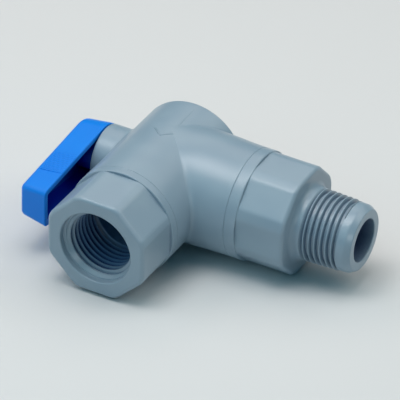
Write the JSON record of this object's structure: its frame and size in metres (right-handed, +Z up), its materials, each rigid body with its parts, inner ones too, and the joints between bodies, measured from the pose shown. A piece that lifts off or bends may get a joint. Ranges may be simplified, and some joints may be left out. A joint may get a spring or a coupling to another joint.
{
  "type": "quarter-turn angle ball valve",
  "caption": "Moulded plastic angle valve: threaded female inlet, threaded male outlet at a right angle, and a hollow lever that turns an L-ported ball.",
  "frame": {"origin": "centre of the inlet's end face", "axes": "-Y out of the inlet, +X out of the outlet, +Z up and square to both"},
  "size_m": [0.0925, 0.0591, 0.0338],
  "materials": {
    "grey_plastic": "satin moulded grey plastic",
    "blue_plastic": "satin moulded blue plastic",
    "ball_plastic": "polished grey plastic",
    "seat_plastic": "smooth white low-friction plastic",
    "seal_rubber": "black rubber",
    "stainless": "plain stainless steel"
  },
  "bodies": {
    "valve": {"valve_body": "grey_plastic", "inlet_connector": "grey_plastic", "outlet_connector": "grey_plastic", "inlet_seat": "seat_plastic", "outlet_seat": "seat_plastic", "rear_seat": "seat_plastic", "inlet_seat_oring": "seal_rubber", "outlet_seat_oring": "seal_rubber", "rear_seat_oring": "seal_rubber", "inlet_body_oring": "seal_rubber", "outlet_body_oring": "seal_rubber", "stem_thrust_washer": "seat_plastic"},
    "rotor": {"handle": "blue_plastic", "stem": "ball_plastic", "ball": "ball_plastic", "stem_oring_inner": "seal_rubber", "stem_oring_outer": "seal_rubber", "handle_flat_washer": "stainless", "handle_spring_washer": "stainless", "handle_screw": "stainless"}
  },
  "joints": [
    {"name": "handle_turn", "type": "hinge", "parent": "valve", "child": "rotor", "pos_m": [0, 0.0422, 0], "axis": [-1, 0, 0], "range_deg": [0, 90]}
  ]
}
